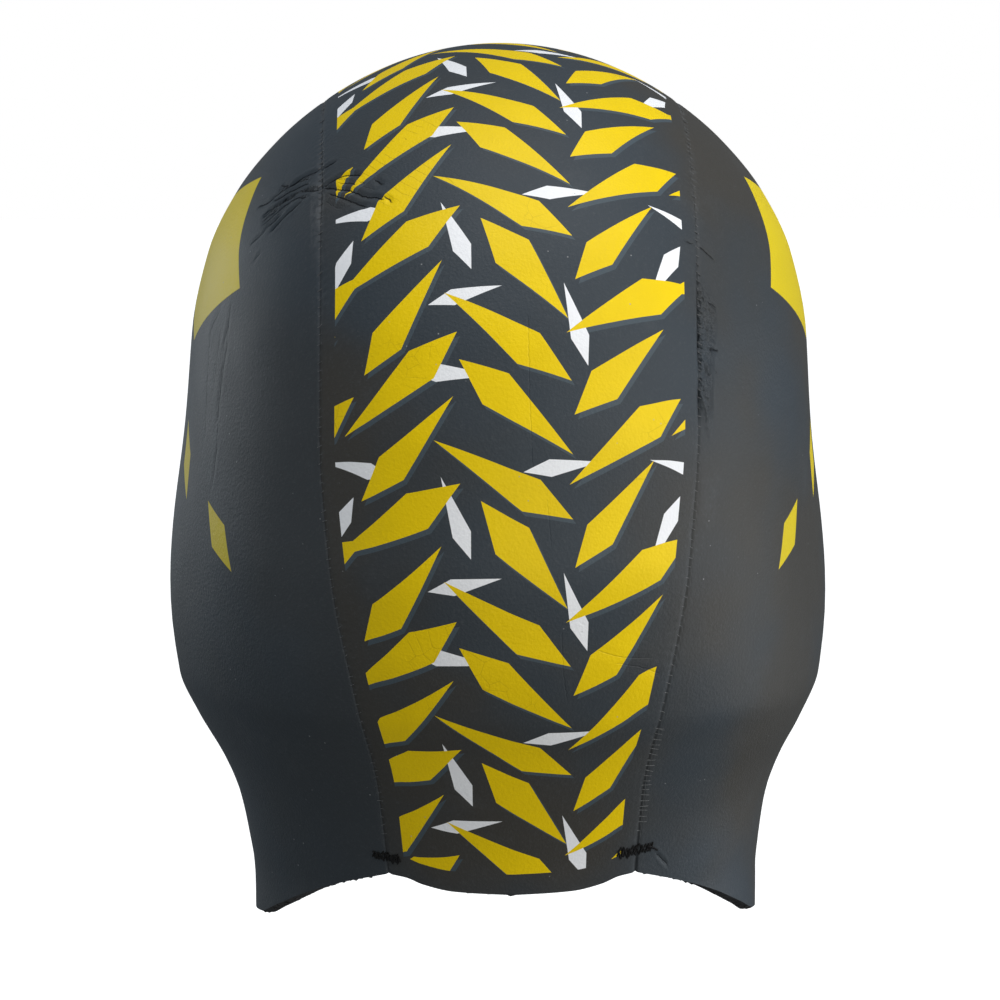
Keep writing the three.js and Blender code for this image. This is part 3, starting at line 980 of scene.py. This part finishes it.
def skin(name, panel):
    """Smooth-skin neoprene with what is printed on it, its creases with painted shade along them, scuffs and dust, and
    a painted light tint that differs by panel.
    """
    finish = Finish(name)
    colour, rough, normal = bare_skin(finish, CLOUD_WARMTH_AND_LIGHT_TINT[panel])
    along, seam = finish.place("along"), finish.place("seam")
    if panel == "left_side":
        band = along.rise(SCUFF_ALONG[0], SCUFF_ALONG[0] + 0.012) * along.rise(SCUFF_ALONG[1], SCUFF_ALONG[1] - 0.03)
        band = band * seam.rise(SCUFF_WIDTH, SCUFF_WIDTH * 0.6)
        colour = finish.mix(band * finish.noise(480.0, 4.0).rise(0.3, 0.7) * 0.75, colour, SKIN_PALE)
        normal = finish.bump(band * finish.noise(650.0, 3.0), 0.7, 0.0006, normal)
    if panel == "right_side":
        band = along.rise(SHRUNK_ALONG[0], SHRUNK_ALONG[0] + 0.008) * along.rise(SHRUNK_ALONG[1], SHRUNK_ALONG[1] - 0.012)
        band = band * seam.rise(SHRUNK_WIDTH, SHRUNK_WIDTH * 0.5)
        normal = finish.bump(band * finish.noise(520.0, 2.0), 1.0, 0.0025, normal)
    marks = centre_print if panel == "centre" else side_marks
    colour, rough, normal = marks(finish, colour, rough, normal)
    colour, normal = fine_creases(finish, colour, normal)
    stitch_rub = seam.rise(1.8 * MM, 0.4 * MM) * finish.noise(800.0, 3.0).rise(0.5, 0.75)
    colour = finish.mix(stitch_rub * 0.4, colour, SKIN_PALE)
    dust = finish.node("ShaderNodeTexVoronoi", {}, {"Vector": finish.position(), "Scale": 300.0})
    speck = dust.rise(0.075, 0.04) * finish.noise(110.0, 2.0).rise(0.56, 0.62)
    colour = finish.mix(speck * 0.55, colour, DUST)
    sockets = {"Base Color": colour, "Roughness": rough, "Normal": normal, "Specular IOR Level": SHEEN_LEVEL}
    return finish.surface(sockets)


def lining(name):
    """Black jersey, knitted in fine ribs."""
    finish = Finish(name)
    across, along = finish.place("across"), finish.place("along")
    rib = (across * (2 * math.pi / (0.9 * MM))).math("SINE")
    stitch = (along * (2 * math.pi / (0.7 * MM))).math("SINE")
    knit = rib * 0.6 + stitch * rib * 0.4
    colour = finish.mix(knit.rise(-1.0, 1.0), (0.008, 0.009, 0.011), (0.03, 0.032, 0.036))
    return finish.surface({
        "Base Color": colour,
        "Roughness": 0.85 + 0.1 * finish.noise(300.0),
        "Normal": finish.bump(knit, 0.6, 0.00015),
        "Sheen Weight": 0.25,
    })


def foam(name):
    """The cut edge of foam rubber, full of small open cells."""
    finish = Finish(name)
    cells = finish.node("ShaderNodeTexVoronoi", {}, {"Vector": finish.position(), "Scale": 2600.0})
    colour = finish.mix(cells.rise(0.1, 0.7), (0.006, 0.006, 0.007), (0.03, 0.03, 0.032))
    return finish.surface({
        "Base Color": colour,
        "Roughness": 0.8 + 0.15 * cells,
        "Normal": finish.bump(cells, 0.9, 0.0002),
    })


def thread(name, dark, pale):
    """Twisted thread."""
    finish = Finish(name)
    fuzz = finish.noise(2600.0, 2.0)
    colour = finish.mix(fuzz.rise(0.3, 0.7), dark, pale)
    return finish.surface({
        "Base Color": colour,
        "Roughness": 0.65 + 0.2 * fuzz,
        "Normal": finish.bump(fuzz, 0.6, 0.0001),
        "Specular IOR Level": 0.2,
    })


CENTRE_SKIN = skin("centre_smooth_skin", "centre")
LEFT_SKIN = skin("left_smooth_skin", "left_side")
RIGHT_SKIN = skin("right_smooth_skin", "right_side")
JERSEY = lining("jersey_lining")
FOAM = foam("cut_foam")
BLACK_THREAD = thread("black_thread", (0.002, 0.002, 0.002), (0.012, 0.012, 0.013))
GREY_THREAD = thread("grey_thread", (0.06, 0.065, 0.07), (0.14, 0.145, 0.15))

# Threads. Places are along a seam and aside from it, + on the side panel
THREAD_RADIUS = 0.1 * MM
TACK_THREAD_RADIUS = 0.24 * MM
THREAD_SIDES = 6
STITCH_HALF_LENGTH = 0.8 * MM
CLOSE_STITCH_HALF_LENGTH = 1.3 * MM
STITCH_SLANT = 0.35 * MM
STITCH_FROM, STITCH_TO = 6 * MM, 392 * MM
CLOSE_STITCH_PITCH = 1.7 * MM
CLOSE_STITCHES = (357 * MM, 389 * MM)
CLOSE_STITCH_ASIDE = 0.6 * MM
TACK_LOOPS = 6
TACKS = {"left": (398.2, -3.6, 3.6, 1.4), "right": (396.4, -5.4, 4.4, 1.7)}
STITCH_LIFT = -0.05 * MM
TACK_LIFT = 0.3 * MM


def seam_places(along, aside, lift, mirrored):
    """Points near a seam, from places along it and aside from it, lifted off the skin."""
    share = np.clip(along / MIDDLE_LENGTH, 0, 1)
    ones = np.ones_like(share)
    base = on_line(share, ones)
    tangent = unit(on_line(np.minimum(share + 0.002, 1), ones) - on_line(np.maximum(share - 0.002, 0), ones))
    sideways = unit(np.cross(tangent, through(base)[1]))
    sideways *= np.where(sideways[..., :1] < 0, -1, 1)
    outer, normal = through(base + sideways * aside[..., None])
    valley = -SEAM_DEPTH * np.exp(-((aside / SEAM_ROUND) ** 2))
    points = outer + normal * (valley + lift)[..., None]
    return lean(points * (-1, 1, 1) if mirrored else points)


def tube(points, radius):
    """Points and faces of a round thread along a line of points."""
    ahead = unit(np.gradient(points, axis=0))
    first = unit(np.cross(ahead, points - HEART))
    second = np.cross(ahead, first)
    turns = np.arange(THREAD_SIDES) * 2 * math.pi / THREAD_SIDES
    rings = np.cos(turns)[None, :, None] * first[:, None] + np.sin(turns)[None, :, None] * second[:, None]
    taper = np.ones(len(points))
    taper[[0, -1]] = 0.5
    verts = (points[:, None] + rings * radius * taper[:, None, None]).reshape(-1, 3)
    faces = []
    for i in range(len(points) - 1):
        for k in range(THREAD_SIDES):
            after = (k + 1) % THREAD_SIDES
            low, high = i * THREAD_SIDES, (i + 1) * THREAD_SIDES
            faces.append((low + k, low + after, high + after, high + k))
    last = (len(points) - 1) * THREAD_SIDES
    faces.append(tuple(range(THREAD_SIDES))[::-1])
    faces.append(tuple(last + k for k in range(THREAD_SIDES)))
    return verts, faces


def thread_piece(name, lines, radius, material):
    """One piece of several threads, attached to the root body."""
    verts, faces, count = [], [], 0
    for line in lines:
        line_verts, line_faces = tube(line, radius)
        verts.append(line_verts)
        faces += [tuple(corner + count for corner in face) for face in line_faces]
        count += len(line_verts)
    mesh = bpy.data.meshes.new(name)
    mesh.from_pydata(np.concatenate(verts).tolist(), [], faces)
    mesh.polygons.foreach_set("use_smooth", np.ones(len(mesh.polygons), bool))
    mesh.materials.append(material)
    piece = bpy.data.objects.new(name, mesh)
    bpy.context.scene.collection.objects.link(piece)
    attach(piece, "root")
    return piece


def seam_stitches(name, mirrored):
    """Short stitches across a seam, closer together low on the right one."""
    generator = np.random.default_rng(5)
    alongs = list(np.arange(STITCH_FROM, STITCH_TO, STITCH_PITCH))
    if mirrored:
        alongs = [a for a in alongs if not CLOSE_STITCHES[0] < a < CLOSE_STITCHES[1]]
        alongs += list(np.arange(*CLOSE_STITCHES, CLOSE_STITCH_PITCH))
    lines = []
    way = np.linspace(-1, 1, 7)
    for start in alongs:
        close = mirrored and CLOSE_STITCHES[0] <= start <= CLOSE_STITCHES[1]
        half = (CLOSE_STITCH_HALF_LENGTH if close else STITCH_HALF_LENGTH) * generator.uniform(0.8, 1.2)
        slant = STITCH_SLANT * generator.uniform(0.3, 1.5)
        along = start + way * slant + generator.uniform(-0.3, 0.3) * MM
        sunk = 0.0 if close else generator.uniform(-0.09, 0.07) * MM
        lift = STITCH_LIFT + sunk + 0.1 * MM * (1 - way**4) - 0.15 * MM * way**6
        aside = way * half
        if close:
            aside = aside + CLOSE_STITCH_ASIDE
            lift = 0.03 * MM * (1 - way**6) + SEAM_DEPTH * 0.4 * np.exp(-((aside / SEAM_ROUND) ** 2))
        lines.append(seam_places(along, aside, lift, mirrored))
    return thread_piece(name, lines, THREAD_RADIUS, GREY_THREAD)


def bar_tack(name, mirrored):
    """A zigzag of thread across the foot of a seam, with a loose end on the right one."""
    generator = np.random.default_rng(8)
    along, start, end, height = TACKS["right" if mirrored else "left"]
    lines = []
    for layer in range(2):
        count = TACK_LOOPS * 2 + 1
        way = np.linspace(start, end, count) + generator.normal(0, 0.12, count)
        up = np.where(np.arange(count) % 2 == layer, height, -height) * generator.uniform(0.5, 1.2, count)
        fine = np.linspace(0, count - 1, (count - 1) * 5 + 1)
        aside = np.interp(fine, np.arange(count), way) * MM
        rise = np.interp(fine, np.arange(count), up)
        lift = TACK_LIFT * (0.3 + 0.6 * layer) * (0.6 + 0.4 * np.cos(math.pi * fine))
        lines.append(seam_places((along + rise) * MM, aside, lift, mirrored))
    if mirrored:
        way = np.linspace(0, 1, 14)
        tail_along = (along - 0.6 + 1.4 * way + 1.2 * way**2) * MM
        tail = seam_places(tail_along, (2.6 + 3.2 * way) * MM, TACK_LIFT * (1.3 - way), mirrored)
        lines.append(tail)
    return thread_piece(name, lines, TACK_THREAD_RADIUS, BLACK_THREAD)


centre = centre_sheet()
side = side_sheet()


def dress(piece, node):
    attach(piece, "root")
    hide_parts(node)


centre_piece = build_panel("centre", centre, False, [CENTRE_SKIN, JERSEY, FOAM])
left_piece = build_panel("left_side", side, False, [LEFT_SKIN, JERSEY, FOAM])
right_piece = build_panel("right_side", side, True, [RIGHT_SKIN, JERSEY, FOAM])
left_threads = [seam_stitches("left_seam_stitches", False), bar_tack("left_bar_tack", False)]
right_threads = [seam_stitches("right_seam_stitches", True), bar_tack("right_bar_tack", True)]
dress(centre_piece, "centre_panel")
dress(left_piece, "left_side_panel")
dress(right_piece, "right_side_panel")


# Floor, light and camera
FLOOR_Z = -0.5
FLOOR_REACH = 14.0
AIM = Vector((0, 0, -0.114))
VIEW_DISTANCE = 1.0
VIEW_HEIGHT = 6.0
VIEW_YAW = 1.9
FRAME_SHARE = 3.88
SENSOR = 36.0


def floor():
    """A plain pale floor, well below the cap."""
    finish = Finish("pale_floor")
    tone = finish.noise(2.0)
    colour = finish.mix(tone, (0.9, 0.9, 0.9), (0.93, 0.93, 0.93))
    glow = {"Emission Color": (1.0, 1.0, 1.0, 1.0), "Emission Strength": 0.35}
    material = finish.surface({"Base Color": colour, "Roughness": 0.9, **glow})
    mesh = bpy.data.meshes.new("floor")
    r = FLOOR_REACH
    mesh.from_pydata([(-r, -r, FLOOR_Z), (r, -r, FLOOR_Z), (r, r, FLOOR_Z), (-r, r, FLOOR_Z)], [], [(0, 1, 2, 3)])
    mesh.materials.append(material)
    piece = bpy.data.objects.new("floor", mesh)
    bpy.context.scene.collection.objects.link(piece)
    piece.visible_diffuse = False
    piece.visible_glossy = False


def light(name, place, size, power, colour=(1, 1, 1), target=(0, 0, -0.1)):
    """A soft area light that looks at the cap."""
    data = bpy.data.lights.new(name, "AREA")
    data.size = size
    data.energy = power
    data.color = colour
    lamp = bpy.data.objects.new(name, data)
    lamp.location = place
    lamp.rotation_euler = (Vector(target) - Vector(place)).to_track_quat("-Z", "Y").to_euler()
    bpy.context.scene.collection.objects.link(lamp)


def sun(name, direction, strength, spread):
    data = bpy.data.lights.new(name, "SUN")
    data.energy = strength
    data.angle = math.radians(spread)
    lamp = bpy.data.objects.new(name, data)
    lamp.rotation_euler = Vector(direction).to_track_quat("-Z", "Y").to_euler()
    bpy.context.scene.collection.objects.link(lamp)


def world():
    """Even studio light, with a white surround for the camera."""
    space = bpy.data.worlds.new("studio")
    space.use_nodes = True
    nodes, links = space.node_tree.nodes, space.node_tree.links
    nodes.clear()
    path = nodes.new("ShaderNodeLightPath")
    fill = nodes.new("ShaderNodeBackground")
    fill.inputs["Color"].default_value = (0.82, 0.92, 1.0, 1.0)
    fill.inputs["Strength"].default_value = 0.17
    white = nodes.new("ShaderNodeBackground")
    white.inputs["Strength"].default_value = 1.0
    white.inputs["Color"].default_value = (1.0, 1.0, 1.0, 1.0)
    mix = nodes.new("ShaderNodeMixShader")
    out = nodes.new("ShaderNodeOutputWorld")
    links.new(path.outputs["Is Camera Ray"], mix.inputs["Fac"])
    links.new(fill.outputs[0], mix.inputs[1])
    links.new(white.outputs[0], mix.inputs[2])
    links.new(mix.outputs[0], out.inputs["Surface"])
    bpy.context.scene.world = space


def camera():
    data = bpy.data.cameras.new("view")
    data.sensor_width = SENSOR
    data.lens = SENSOR * FRAME_SHARE
    data.clip_end = 100
    eye = bpy.data.objects.new("view", data)
    yaw, height = math.radians(VIEW_YAW), math.radians(VIEW_HEIGHT)
    back = Vector((math.sin(yaw) * math.cos(height), math.cos(yaw) * math.cos(height), math.sin(height)))
    eye.location = AIM + back * VIEW_DISTANCE
    eye.rotation_euler = (-back).to_track_quat("-Z", "Y").to_euler()
    bpy.context.scene.collection.objects.link(eye)
    bpy.context.scene.camera = eye


floor()
world()
sun("overhead", (0.15, -0.25, -1.0), 2.4, 60)
light("key", (-1.75, 1.4, 0.25), 1.6, 26.5, (1.0, 0.97, 0.92))
light("left_rim", (1.1, -1.0, 0.1), 0.6, 4.5, (0.9, 0.96, 1.0))
light("left_low", (1.4, 0.25, -0.4), 0.8, 2.2, (0.86, 0.94, 1.0))
light("right_rim", (-1.3, -0.1, -0.4), 0.8, 7, (0.92, 0.96, 1.0))
light("low", (-0.2, 1.25, -0.47), 0.5, 5.5, (1.0, 0.93, 0.82))
camera()
bpy.context.scene.view_settings.view_transform = "Standard"
